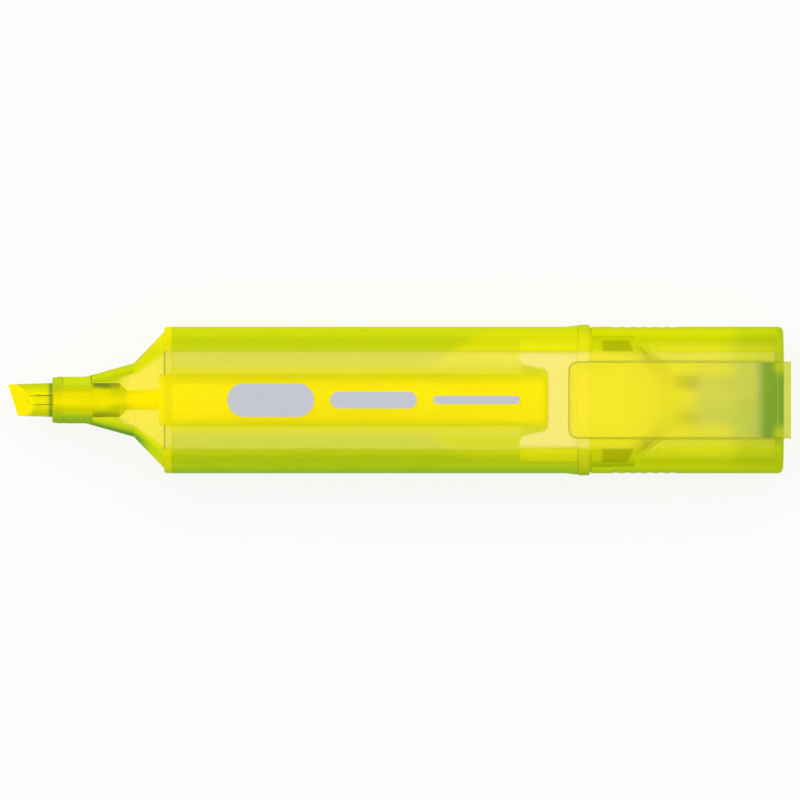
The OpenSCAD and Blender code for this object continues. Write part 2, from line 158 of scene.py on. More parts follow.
class BarrelLook(bpy.types.PropertyGroup):
    """Dyed see-through plastic of the barrel."""

    flat: colour("Flats", "Colour of the broad flat faces", dye(206, 201, 110))
    # Painted shade: the flats towards the near side darker and greener
    near_flat_shade: colour("Near Flats", "Colour of the flats towards the near side", dye(150, 182, 40))
    # Painted light of the ink reservoir on the flats beside it
    lit: colour("Lit Flats", "Colour of the flats beside the ink reservoir", dye(222, 214, 0))
    side: colour("Sides", "Colour of the rounded narrow sides", dye(190, 202, 0))
    # Painted light on the far edge and painted shade on the near edge
    bright: colour("Far Edge", "Colour of the outer edge on the far side", dye(198, 206, 0))
    edge_shade: colour("Near Edge", "Colour of the outer edge on the near side", dye(112, 172, 30))
    band: colour("Tongue Band", "Colour of the sides round the tongue", dye(230, 222, 0))
    tongue: colour("Tongue Flats", "Colour of the flats over the tongue", dye(222, 220, 110))
    # Painted light from the pale fork on the flats and sides towards the rear
    fork_lit_flat: colour("Warm Flats", "Colour of the flats lit by the fork", dye(234, 222, 92))
    fork_lit_near_flat: colour(
        "Warm Near Flats", "Colour of the near flats lit by the fork", dye(206, 206, 10)
    )
    fork_lit_side: colour("Warm Sides", "Colour of the sides lit by the fork", dye(214, 213, 0))
    rear: colour("Rear Sides", "Colour of the sides round the plug's fork", dye(228, 223, 0))
    rear_flat: colour("Rear Flats", "Colour of the flats over the plug's fork", dye(226, 217, 182))
    seam: colour("Seam", "Colour of the joint line with the front section", dye(150, 156, 70))
    tint: colour("Tint", "Colour that the plastic gives to light passing through", TINT)
    flat_cover: share("Flat Cover", "How much one flat surface hides", 0.22)
    side_cover: share("Side Cover", "How much one curved surface hides", 0.62)
    # Fluorescence of the dye, painted as a glow of the plastic's own
    glow: share("Glow", "Fluorescence of the dye", 0.25)


class FrontLook(bpy.types.PropertyGroup):
    """Dyed see-through plastic of the front section."""

    flat: colour("Flats", "Colour of the shoulder's flat faces", dye(245, 226, 100))
    nose: colour("Nose", "Colour of the nose over the nib", dye(234, 222, 0))
    side: colour("Sides", "Colour of the nose and the cone", dye(196, 208, 0))
    # Painted light and shade: lighter tone for the shoulder's far side, shaded tones for the near
    # side of shoulder, cone and nose
    shoulder: colour("Shoulder Far Side", "Colour of the shoulder's far side", dye(213, 215, 0))
    shoulder_shade: colour(
        "Shoulder Near Side", "Colour of the shoulder's near side", dye(186, 212, 0)
    )
    cone_shade: colour("Cone Near Side", "Colour of the cone's near side", dye(204, 217, 0))
    nose_shade: colour("Nose Near Side", "Colour of the nose tube's near side", dye(140, 175, 20))
    # Painted light on the far edge and painted shade on the near edge
    bright: colour("Far Edge", "Colour of the outer edge on the far side", dye(188, 200, 8))
    edge_shade: colour("Near Edge", "Colour of the outer edge on the near side", dye(98, 148, 34))
    # Painted shade in the groove and along the step where the bore widens
    step: colour("Bore Step", "Colour of the line where the bore widens", dye(110, 150, 30))
    tint: colour("Tint", "Colour that the plastic gives to light passing through", TINT)
    flat_cover: share("Flat Cover", "How much one flat surface hides", 0.2)
    side_cover: share("Side Cover", "How much one curved surface hides", 0.45)
    # Fluorescence of the dye, painted as a glow of the plastic's own
    glow: share("Glow", "Fluorescence of the dye", 0.25)


class PlugLook(bpy.types.PropertyGroup):
    """Paler, milky plastic of the rear plug and the inner cap."""

    flat: colour("Flats", "Colour of the fork's flat faces", dye(247, 237, 216))
    collar: colour("Collar Flats", "Colour of the collar's flat faces", dye(238, 227, 112))
    side: colour("Sides", "Colour of the rounded narrow sides", dye(214, 208, 0))
    # Painted light on the far edge and painted shade on the near edge
    bright: colour("Far Edge", "Colour of the outer edge on the far side", dye(186, 198, 0))
    edge_shade: colour("Near Edge", "Colour of the outer edge on the near side", dye(130, 168, 16))
    post: colour("Post", "Colour of the post and the funnel inside the cap", dye(241, 236, 72))
    post_side: colour("Post Sides", "Colour of the post's narrow sides", dye(218, 222, 0))
    rail: colour("Post Rails", "Colour of the two rails at the post's sides", dye(112, 122, 20))
    # Painted shade on the sealing sleeve's thick wall
    sleeve: colour("Sleeve Shade", "Colour of the sealing sleeve's thick wall", dye(112, 146, 40))
    tint: colour(
        "Tint", "Colour that the plastic gives to light passing through", (0.995, 0.99, 0.6)
    )
    flat_cover: share("Flat Cover", "How much one flat surface hides", 0.6)
    side_cover: share("Side Cover", "How much one curved surface hides", 0.6)
    inner_cover: share("Inner Cover", "How much one surface of the inner cap hides", 0.3)
    # Fluorescence of the dye, painted as a glow of the plastic's own
    glow: share("Glow", "Fluorescence of the dye", 0.25)


class CapLook(bpy.types.PropertyGroup):
    """Dyed see-through plastic of the cap and its clip."""

    flat: colour("Flats", "Colour of the broad flat faces", dye(228, 215, 84))
    # Strip tone: also the painted shade on the near flats
    strip: colour("Flat Strips", "Colour of the flats' strips beside the clip", dye(222, 219, 0))
    side: colour("Sides", "Colour of the rounded narrow sides", dye(212, 217, 0))
    # Painted light on the far edge and painted shade on the near edge
    bright: colour("Far Edge", "Colour of the outer edge on the far side", dye(186, 196, 0))
    edge_shade: colour("Near Edge", "Colour of the outer edge on the near side", dye(132, 176, 14))
    end: colour("Closed End", "Colour towards the cap's closed end", dye(170, 190, 4))
    clip: colour("Clip", "Colour of the clip's flat blade", dye(234, 222, 60))
    # Painted shade along the clip's rim and on the flat beside it
    edge: colour("Clip Edge", "Colour of the clip's rim and its shade", dye(162, 165, 50))
    lip: colour("Clip Lip", "Colour of the clip's end behind the cap", dye(186, 195, 56))
    haze: colour("Clip Haze", "Colour of the blade over the cap's empty end", dye(186, 195, 118))
    root: colour("Clip Root", "Colour of the thick plastic at the clip's foot", dye(112, 152, 32))
    tint: colour("Tint", "Colour that the plastic gives to light passing through", TINT)
    flat_cover: share("Flat Cover", "How much one flat surface hides", 0.2)
    side_cover: share("Side Cover", "How much one curved surface hides", 0.36)
    mouth_cover: share("Mouth Cover", "How much one curved surface hides over the post", 0.28)
    clip_cover: share("Clip Cover", "How much one face of the clip hides", 0.25)
    # Fluorescence of the dye, painted as a glow of the plastic's own
    glow: share("Glow", "Fluorescence of the dye", 0.25)


class InkLook(bpy.types.PropertyGroup):
    """Fibre soaked with fluorescent ink."""

    soaked: colour("Soaked Fibre", "Colour of the soaked fibre", dye(246, 222, 0))
    # Painted shade where the round reservoir turns away
    limb: colour("Limb", "Colour where the round reservoir turns away", dye(205, 198, 0))
    # Painted light and shade on the nib: bevel and body lighter, rod and edges darker
    body: colour("Nib Body", "Colour of the nib's body", dye(250, 234, 0))
    rod: colour("Nib Rod", "Colour of the nib behind its bevel", dye(237, 228, 0))
    edge: colour("Nib Edge", "Colour of the nib's far edge", dye(190, 203, 0))
    nib_near_shade: colour("Nib Near Edge", "Colour of the nib's near edge", dye(204, 210, 0))
    # Painted shade in the gap under the cone's wall
    lens: colour("Nib Lens", "Colour of the dark lens inside the cone", dye(52, 112, 130))
    dark: colour("Nib Shadow", "Colour of the nib in the shadow of the nose", dye(110, 140, 40))
    # Painted shade along the edges of the air channel
    line: colour("Channel Line", "Colour of the edges of the air channel", dye(150, 158, 25))
    strand: share("Strands", "How much darker the gaps between the fibres are", 0.12)
    # Fluorescence of the ink, painted as a glow of the fibre's own
    glow: share("Reservoir Glow", "Fluorescence of the ink in the reservoir", 0.48)
    nib_glow: share("Nib Glow", "Fluorescence of the ink in the nib", 0.14)


class PrintLook(bpy.types.PropertyGroup):
    """Three silver strokes of falling width, printed on the upper flat of the barrel."""

    silver: colour("Silver", "Colour of the silver print", dye(190, 194, 203))
    start: length("Start", "Distance of the first stroke from the barrel's front edge", 9.5 * MM)
    stroke: length("Stroke Length", "Length of one printed stroke", 13.0 * MM)
    gap: length("Stroke Gap", "Gap between two printed strokes", 2.4 * MM)
    widest: length("Widest Stroke", "Width of the first stroke", 5.0 * MM)
    strokes: IntProperty(name="Strokes", description="Number of strokes", default=3, min=1, max=4)


class StageLook(bpy.types.PropertyGroup):
    """Floor, light and camera."""

    floor: colour("Floor", "Colour of the floor", (0.92, 0.92, 0.92))
    white: share("Floor White", "How much of the floor shows as plain white", 0.82)
    key: FloatProperty(
        name="Key Light", description="Power of the soft key light in watts", default=4.0
    )
    sky: FloatProperty(name="Sky", description="Strength of the even light all round", default=0.66)
    lens: FloatProperty(name="Lens", description="Focal length in millimetres", default=1000.0)
    frame_width: length("Frame Width", "Width that the picture covers at the pen's axis", 120 * MM)


class Wire:
    """A shader socket that Python's operators turn into Math nodes."""

    def __init__(self, finish, socket):
        self.finish, self.socket = finish, socket

    def other(self, name):
        """Another output of the node that this socket belongs to."""
        return Wire(self.finish, self.socket.node.outputs[name])

    def _math(self, operation, *values):
        return self.finish.node(
            "ShaderNodeMath", {"operation": operation}, dict(enumerate(values))
        )

    def __add__(self, value):
        return self._math("ADD", self, value)

    __radd__ = __add__

    def __sub__(self, value):
        return self._math("SUBTRACT", self, value)

    def __rsub__(self, value):
        return self._math("SUBTRACT", value, self)

    def __mul__(self, value):
        return self._math("MULTIPLY", self, value)

    __rmul__ = __mul__

    def __pow__(self, value):
        return self._math("POWER", self, value)

    def __abs__(self):
        return self._math("ABSOLUTE", self)

    def over(self, value):
        """The larger of the two."""
        return self._math("MAXIMUM", self, value)


class Finish:
    """One material or world, built from nodes."""

    def __init__(self, name):
        self.hold(bpy.data.materials.new(name))

    @classmethod
    def of(cls, owner):
        """Builds the nodes of something that is there already."""
        made = cls.__new__(cls)
        made.hold(owner)
        return made

    def hold(self, owner):
        """Takes an owner of nodes and empties its tree."""
        owner.use_nodes = True
        self.owner, self.tree = owner, owner.node_tree
        self.tree.nodes.clear()

    def node(self, kind, settings=None, inputs=None, output=0):
        """Adds a node, sets it up, feeds its sockets and returns one of its outputs."""
        made = self.tree.nodes.new(kind)
        for name, value in (settings or {}).items():
            setattr(made, name, value)
        for key, value in (inputs or {}).items():
            if isinstance(value, Wire):
                self.tree.links.new(value.socket, made.inputs[key])
            else:
                made.inputs[key].default_value = value
        return Wire(self, made.outputs[output]) if made.outputs else made

    def scale(self, vector, factor):
        """A vector or colour times a number."""
        return self.node(
            "ShaderNodeVectorMath", {"operation": "SCALE"}, {0: vector, "Scale": factor}
        )

    def axes(self, vector):
        """The three numbers of a vector."""
        x = self.node("ShaderNodeSeparateXYZ", None, {0: vector})
        return x, x.other("Y"), x.other("Z")

    def place(self):
        """Position on the piece in millimetres, as a vector."""
        return self.scale(self.node("ShaderNodeTexCoord", output="Object"), 1.0 / MM)

    def locate(self):
        """Keeps where on the pen each point lies."""
        self.spot = self.place()
        self.x, self.y, self.z = self.axes(self.spot)
        self.across = abs(self.y)
        self.near = self.step(self.y, 0.4, -0.4)

    def step(self, value, low, high, ease="SMOOTHSTEP"):
        """Rise from 0 at low to 1 at high."""
        return self.node(
            "ShaderNodeMapRange",
            {"interpolation_type": ease},
            {"Value": value, "From Min": low, "From Max": high},
        )

    def band(self, value, low, high, soft):
        """1 between low and high, with soft ends."""
        return self.step(value, low - soft, low + soft) * self.step(value, high + soft, high - soft)

    def slant(self, rise):
        """Number that stays the same along an edge at this slant to the pen's axis."""
        return self.across + self.x * rise

    def corner(self, along, beside):
        """Distance from a rounded corner's centre, counted outwards only."""
        return (along.over(0.0) ** 2 + beside.over(0.0) ** 2) ** 0.5

    def blend(self, factor, first, second):
        """Colour between two colours."""
        return self.node(
            "ShaderNodeMix", {"data_type": "RGBA"}, {0: factor, 6: first, 7: second}, 2
        )

    def grain(self, vector, stretch, scale, detail=2.0):
        """Noise, stretched along the axes by the given factors."""
        spread = self.node(
            "ShaderNodeVectorMath", {"operation": "MULTIPLY"}, {0: vector, 1: stretch}
        )
        return self.node(
            "ShaderNodeTexNoise", None, {"Vector": spread, "Scale": scale, "Detail": detail}
        )

    def seen(self):
        """1 where a ray brings the background to the eye, straight, mirrored or passed on."""
        ray = self.node("ShaderNodeLightPath", output="Is Camera Ray")
        return ray + ray.other("Is Glossy Ray") + ray.other("Is Transmission Ray")

    def mix(self, factor, first, second):
        """Shader between two shaders."""
        return self.node("ShaderNodeMixShader", None, {0: factor, 1: first, 2: second})

    def show(self, shader):
        """Ends the material with this shader."""
        self.node("ShaderNodeOutputMaterial", None, {"Surface": shader})
        return self.owner


def rgba(values):
    """Three numbers as a colour for a socket."""
    return (*values, 1.0)


def dress(name, material):
    """Gives a CAD node one material."""
    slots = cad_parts[name].data.materials
    slots.clear()
    slots.append(material)


class Plastic(Finish):
    """Dyed see-through plastic.

    It is clear on its flats, dense where the wall turns away and dimly clear again upright; where
    it turns away its far side is painted lighter and its near side painted in shade.
    """

    def __init__(self, name, look, flat, flat_cover, side_cover, near_shade_start=0.12, half_flat=None):
        super().__init__(name)
        self.look = look
        self.locate()
        self.far = 1.0 - self.near
        facing = self.axes(self.node("ShaderNodeTexCoord", output="Normal"))
        lengthways, self.sideways, upright = (abs(part) for part in facing)
        self.turn = 1.0 - upright
        self.ends = self.step(lengthways, 0.7, 0.9)
        self.gloss = SIDE_GLOSS + self.step(upright, 0.5, 0.8) * (FLAT_GLOSS - SIDE_GLOSS)
        if half_flat:
            self.flat = self.step(self.across, half_flat + 0.5, half_flat - 0.5)
            thin = self.step(self.across, half_flat + 0.4, half_flat)
        else:
            self.flat = thin = self.step(upright, 0.81, 0.88)
        self.side = 1.0 - self.flat
        # Painted light and shade: towards the outer edge the far side turns lighter, the near side
        # darker and greener
        far_light_share = self.step(self.turn, 0.25, 1.0)
        near_shade_share = self.step(self.turn, near_shade_start, NEAR_SHADE_END, "LINEAR")
        far_side_lit = self.blend(far_light_share, rgba(look.side), rgba(look.bright))
        near_side_shaded = self.blend(near_shade_share, rgba(look.side), rgba(look.edge_shade))
        self.body = self.blend(
            self.flat, self.blend(self.near, far_side_lit, near_side_shaded), rgba(flat)
        )
        self.window = self.step(self.turn, 0.79, 0.92) * WINDOW
        dense = side_cover + self.step(self.turn, 0.25, 0.6) * (SOLID - side_cover)
        dense = dense - self.window
        self.hides = dense + thin * (flat_cover - dense)

    def veil(self, mask, hides):
        """Sets how much the plastic hides where the mask is 1."""
        self.hides = self.hides + mask * (hides - self.hides)

    def mark(self, mask, tone, hides=None):
        """Lays a tone over the plastic where the mask is 1."""
        self.body = self.blend(mask, self.body, rgba(tone))
        if hides is not None:
            self.veil(mask, hides)

    def mould(self):
        """Ends the material: moulded plastic with a painted glow, part of it let through with a
        tint.
        """
        haze = self.grain(self.spot, (0.25, 1.0, 1.0), 0.9, 3.0)
        body = self.scale(self.body, 0.95 + haze * 0.1)
        plastic = self.node(
            "ShaderNodeBsdfPrincipled",
            None,
            {
                "Base Color": body,
                "Roughness": 0.2 + haze * 0.15,
                "IOR": 1.5,
                "Specular IOR Level": 0.0,
                "Coat Weight": self.gloss,
                "Coat Roughness": 0.08,
                # Emission: the dye's fluorescence, painted as a glow of the plastic's own
                "Emission Color": body,
                "Emission Strength": self.look.glow,
            },
        )
        clear = self.node("ShaderNodeBsdfTransparent", None, {"Color": rgba(self.look.tint)})
        return self.show(self.mix(self.hides, clear, plastic))


def barrel_plastic(look):
    """Barrel: painted light from the reservoir and the fork on its flats, painted shade on its near
    side and in the fork's gaps, a yellow band and a seam at the front.
    """
    p = Plastic(
        "barrel_plastic", look, look.flat, look.flat_cover, look.side_cover, 0.25, HALF_FLAT
    )
    # Painted shade on the flats towards the near side
    p.mark(p.flat * p.near * p.step(p.across, 4.2, 6.0) * 0.38, look.near_flat_shade)
    # Painted light: the flats over the reservoir lit by its ink
    core = p.step(p.across, 6.0, 3.9) * p.step(p.x, RESERVOIR_END + 0.3, RESERVOIR_END)
    p.mark(core * p.flat, look.lit, hides=0.3)

    # Painted light from the fork: warmer flats and sides towards the rear, the near flats also in
    # painted shade
    fork_light = p.step(p.x - p.across * 1.53, -5.0, -1.5)
    fork_lit_flats = fork_light * p.flat * p.step(p.across, 4.4, 6.0)
    p.mark(fork_lit_flats, look.fork_lit_flat, hides=0.3)
    p.mark(fork_lit_flats * p.near, look.fork_lit_near_flat)
    limb = p.step(p.turn + p.near * 0.2, 0.8, 0.3)
    p.mark(fork_light * p.side * limb * (1.0 - p.near * 0.45), look.fork_lit_side)

    # Fork under the rear end: painted shade in the gaps beside the reservoir, then the slot's
    # rounded outline
    gap = p.flat * p.band(p.across, 3.7, 5.6, 0.4) * p.step(p.x, 17.0, 19.5)
    p.mark(gap * 0.55, look.side, hides=0.5)
    slot = p.slant(SLOT_SLANT)
    tip_centre = FORK_TIPS + TIP_ROUND
    floor = p.corner(p.x - (SLOT_FLOOR - SLOT_ROUND), slot - (SLOT_EDGE - SLOT_ROUND))
    tips = p.corner(tip_centre - p.x, SLOT_EDGE + TIP_ROUND - slot)
    legs = p.step(tips, TIP_ROUND + 0.12, TIP_ROUND - 0.1)
    legs = legs.over(p.step(p.x, tip_centre, tip_centre + 0.15))
    fork = p.step(floor, SLOT_ROUND - 0.12, SLOT_ROUND + 0.12) * legs
    p.mark(fork * p.flat, look.rear_flat, hides=look.flat_cover)
    sides = p.step(p.x, FORK_TIPS, FORK_TIPS + 0.25) * p.side * p.step(p.across, 9.3, 9.0)
    p.mark(sides * p.step(p.sideways + p.near * 0.03, 0.91, 0.74), look.rear)
    p.mark(p.ends, look.rear, hides=0.3)

    # Front edge: the tongue inside it and the joint line
    tongue = p.step(p.x, TONGUE_END, TONGUE_END - 0.4)
    p.mark(tongue * p.side * (0.85 - p.near * p.step(p.turn, 0.35, 0.7) * 0.5), look.band)
    p.mark(tongue * p.flat * p.step(p.across, 3.9, 4.3), look.tongue, hides=0.3)
    seam = p.step(p.x, SEAM, SEAM - 0.1) * p.band(p.across, 3.75, 7.2, 0.1)
    p.mark(seam, look.seam, hides=0.7)
    return p.mould()


def front_plastic(look):
    """Front section: yellow shoulder, green cone and nose tube, painted lighter on the far side and
    painted in shade with a dark near edge on the near side.
    """
    p = Plastic("front_plastic", look, look.flat, look.flat_cover, look.side_cover, 0.9)
    p.mark(p.step(p.x, -41.5, -43.5) * p.flat, look.nose)

    # Shoulder: past the slanted edge of its flat it is denser, painted lighter on the far side and
    # in shade on the near side
    shoulder = p.step(p.x, KINK, KINK + 0.15)
    past = p.slant(SHOULDER_SLANT) - SHOULDER_EDGE
    outside = shoulder * p.step(past, -0.1, 0.1)
    p.mark(outside, look.shoulder, hides=0.85)
    far = outside * p.far
    p.mark(far * p.step(past, 0.8, 1.8) * p.step(p.x, -37.6, -39.2), look.side)
    p.mark(far * p.step(past, 0.8, 2.8) * p.step(p.x, -37.8, -36.0), look.nose)
    near = outside * p.near
    green = near * p.step(past, 0.2, 1.0) * p.step(p.x, -34.5, -37.5)
    p.mark(green, look.shoulder_shade, hides=0.95)
    p.mark(near * p.step(past, 0.5, 1.5) * p.step(p.x, -36.9, -39.3) * 0.9, look.edge_shade)
    p.mark(shoulder * p.step(past, 0.1, -0.1), look.flat, hides=look.flat_cover)

    # Cone: yellow over the nib, painted shade on the near side, pale beside the nib's neck
    p.mark(p.step(p.x, -41.5, -40.5) * p.step(p.across, 1.9, 1.3), look.nose)
    neck = p.band(p.x, -41.8, -40.7, 0.15) * p.step(p.slant(SHOULDER_SLANT - 0.3), 43.8, 43.4)
    p.mark(neck, look.nose)
    cone = p.step(p.x, TUBE_END - 0.3, TUBE_END + 0.1) * p.step(p.x, KINK + 0.15, KINK)
    cone = cone * p.near
    p.mark(cone * p.side, look.cone_shade, hides=0.9)
    p.mark(cone * p.step(p.turn, 0.3, 0.7), look.edge_shade, hides=SOLID - p.window)
    pale = p.step(p.x, -42.0, -41.2) * p.step(p.x, KINK + 0.3, KINK)
    pale = pale * p.step(p.across, 1.9, 2.4) * p.step(p.slant(CONE_SLANT), 18.45, 18.25)
    p.mark(pale, look.flat, hides=0.35)
    rim = pale * p.step(p.x, KINK, KINK - 1.2) * p.step(p.across, 1.6, 3.0)
    p.mark(rim * (0.6 - p.near * 0.35), look.shoulder)

    # Yellow over the nib's tail, and a clear bore
    p.mark(p.step(p.x, -36.15, -35.95) * p.step(p.across, 3.6, 3.4), look.nose, hides=0.45)
    bore = p.band(p.x, TUBE_END, -41.7, 0.15) * p.step(p.across, 2.7, 2.5)
    p.mark(bore, look.nose, hides=0.1)

    # Nose tube: clear over the nib, greener ring in the nose's shade tone before the groove,
    # painted shade lines at groove and step
    tube = p.step(p.x, TUBE_END, TUBE_END - 0.3)
    p.mark(tube, look.side, hides=0.9)
    # Painted shade on the nose tube's near side and along its edges
    p.mark(tube * p.near * p.step(p.across, 1.5, 3.0), look.nose_shade)
    p.mark(tube * p.near * p.step(p.turn, 0.5, 1.0) * 0.5, look.edge_shade)
    p.mark(tube * p.step(p.across, 2.3, 1.2), look.nose, hides=0.12)
    p.mark(tube * p.far * p.band(p.across, 1.95, 2.3, 0.3) * 0.25, look.edge_shade)
    ring = p.step(p.x, GROOVE + 0.1, GROOVE - 0.1) * p.step(p.across, 0.4, 1.6)
    p.mark(ring * 0.42, look.nose_shade, hides=0.9)
    lines = p.band(p.x, TUBE_END - 0.25, TUBE_END, 0.06)
    lines = lines.over(p.band(p.x, GROOVE, GROOVE + 0.12, 0.05))
    p.mark(lines * p.step(p.across, 2.3, 2.7) * 0.7, look.step, hides=0.8)
    return p.mould()


def plug_plastic(look):
    """Rear plug: pale fork, yellow collar with pale flats, its far edge painted lighter and its
    near side painted in shade, yellow post with two dark rails.
    """
    p = Plastic("plug_plastic", look, look.flat, look.flat_cover, look.side_cover, 0.2, HALF_FLAT)
    collar = p.step(p.x, COLLAR, COLLAR + 0.15)
    p.mark(collar * p.flat, look.collar)
    ring = collar * p.step(p.x, POST + 0.3, POST)
    p.mark(ring * p.step(p.across, 7.8, 7.6), look.side)
    p.mark(ring * p.step(p.across, 7.4, 6.8), look.collar)
    # Painted light on the collar's far edge and painted shade on its near side
    p.mark(ring * p.far * p.step(p.across, 9.7, 10.5) * 0.5, look.bright)
    p.mark(ring * p.side * p.near * 0.2, look.edge_shade)
    p.veil(collar * p.side, 0.93)
    post = p.step(p.x, POST, POST + 0.3)
    p.mark(post * p.flat, look.post)
    p.mark(post * p.side * (1.0 - p.near * 0.25), look.post_side, hides=0.5)
    p.mark(p.ends, look.collar, hides=0.3)
    rail = p.band(p.across, 7.3, 9.0, 0.15).over(p.near * p.band(p.across, 7.3, 9.8, 0.15))
    rail = rail * p.step(p.x, RAIL, RAIL + 0.3) * p.step(p.slant(RAIL_SLANT), 78.0, 77.4)
    p.mark(rail, look.rail, hides=0.95)
    return p.mould()


def inner_plastic(look):
    """Inner cap: yellow funnel, painted shade on the sleeve's thick wall either side of the bore,
    clear nib chamber.
    """
    p = Plastic("inner_cap_plastic", look, look.post, look.inner_cover, look.inner_cover)
    p.hides = look.inner_cover * (1.0 - p.step(p.x, 38.5, SLEEVE).over(p.ends) * 0.8)
    funnel = p.band(p.slant(FUNNEL_SLANT), 36.05, 36.45, 0.2) * p.step(p.x, SLEEVE, SLEEVE - 1.6)
    mouth = p.step(p.across, 6.6, 7.4)
    p.mark(funnel, look.rail, hides=0.12 + p.near * 0.13 + mouth * 0.3)
    # Painted shade: the sleeve's thick wall darker either side of the bore
    wall = p.band(p.across, 1.5, 3.8, 0.9) * p.band(p.x, 41.3, 44.9, 1.1)
    p.mark(wall, look.sleeve, hides=0.48)
    return p.mould()


def cap_plastic(look):
    """Cap: clearer over the post, shaded beside the clip and painted in shade on its near flats,
    darker towards its closed end.
    """
    p = Plastic("cap_plastic", look, look.flat, look.flat_cover, look.side_cover, 0.3, HALF_FLAT)
    # Painted shade: the near flats take the strip tone
    p.mark(p.flat * p.near * 0.6, look.strip)

    # Past the post the cap is empty, and the edges of its flats show; its near flats are painted in
    # shade
    empty = p.step(p.x, 38.0, 40.0)
    low = empty * p.near
    p.mark(low * p.flat * 0.75, look.strip, hides=0.36)
    p.mark(low * p.band(p.across, 7.0, 7.8, 0.3), look.side, hides=0.6)
    p.mark(empty * p.far * p.band(p.across, 7.3, 8.0, 0.3), look.strip, hides=0.5)

    # Soft shade on the upper flat beside the clip's long edges
    shade = p.band(p.across, HALF_CLIP + 0.025, HALF_CLIP + 0.225, 0.1)
    shade = shade * p.step(p.z, FLAT_HEIGHT - 0.4, FLAT_HEIGHT - 0.2) * p.step(p.x, 56.6, 56.2)
    p.mark(shade * 0.8, look.edge, hides=0.55)

    mouth = p.step(p.x, POST_END + 0.2, POST_END) * p.step(p.turn - p.near * 0.1, 0.48, 0.4)
    p.veil(mouth * p.side, look.mouth_cover)
    p.mark(p.ends, look.flat, hides=0.3)
    p.mark(p.step(p.x, 48.5, 52.0) * 0.5, look.end)
    p.mark(p.step(p.x, 56.3, 56.9), look.end, hides=0.95)

    # Closed end: darker towards the middle, with the ring of its moulding point
    middle = p.corner(p.across, abs(p.z - AXIS_HEIGHT))
    closed = p.step(p.x, CAP_END - 0.05, CAP_END + 0.05)
    p.mark(closed * p.step(middle, 7.5, 2.0) * 0.45, look.edge_shade)
    p.mark(closed * p.band(middle, 0.85, 1.05, 0.12) * 0.6, look.root)
    return p.mould()


def clip_plastic(look):
    """Clip: clear blade with a painted dark shade along its rim, hazy and then green towards its
    root.
    """
    p = Plastic("clip_plastic", look, look.clip, look.clip_cover, look.clip_cover)
    lit = p.step(p.across, 2.4, 4.8) * p.step(p.x, 51.5, 48.5)
    p.mark(p.step(p.x, 41.5, 46.5) * (1.0 - lit * 0.65), look.haze)
    root = p.step(p.x, 52.6, 55.2) * p.step(p.x, CAP_END + 0.2, CAP_END)
    p.mark(root, look.root, hides=0.7)
    corners = p.step(p.across, 3.0, 5.2) * p.step(p.x, 55.4, 56.8)
    p.mark(root * corners * 0.5, look.side)
    p.mark(p.step(p.x, CAP_END, CAP_END + 0.2), look.lip, hides=0.55)
    p.mark(p.band(p.x, 56.58, 56.72, 0.05) * 0.5, look.lip)
    # Painted shade along the clip's rounded rim
    edge = p.corner(CLIP_FRONT + CLIP_ROUND - p.x, p.across - (HALF_CLIP - CLIP_ROUND))
    rim = p.step(edge, CLIP_ROUND - 0.28, CLIP_ROUND - 0.1)
    p.mark(rim * p.step(p.x, CAP_END + 0.3, CAP_END - 0.1), look.edge, hides=0.7)
    return p.mould()


class Fibre(Finish):
    """Fibre soaked with ink, its strands running along the pen."""

    def __init__(self, name, look, tone, stretch):
        super().__init__(name)
        self.look = look
        self.locate()
        self.strands = self.grain(self.spot, stretch, 1.0, 4.0)
        self.body = rgba(tone)

    def mark(self, mask, tone):
        """Lays a tone over the fibre where the mask is 1."""
        self.body = self.blend(mask, self.body, rgba(tone))

    def soak(self, roughness, glow_scale=None):
        """Ends the material: soft strands, with the ink's fluorescence painted as a glow of their
        own.
        """
        gaps = self.step(self.strands, 0.55, 0.3) * self.look.strand
        body = self.scale(self.body, 1.0 - gaps)
        relief = self.node(
            "ShaderNodeBump",
            None,
            {"Strength": 0.3, "Distance": 0.05 * MM, "Height": self.strands},
        )
        fibre = self.node(
            "ShaderNodeBsdfPrincipled",
            None,
            {
                "Base Color": body,
                "Roughness": roughness,
                "Specular IOR Level": 0.03,
                "Normal": relief,
                # Emission: the ink's fluorescence, painted as a glow of the fibre's own
                "Emission Color": self.scale(body, glow_scale) if glow_scale else body,
                "Emission Strength": self.look.glow,
            },
        )
        return self.show(fibre)


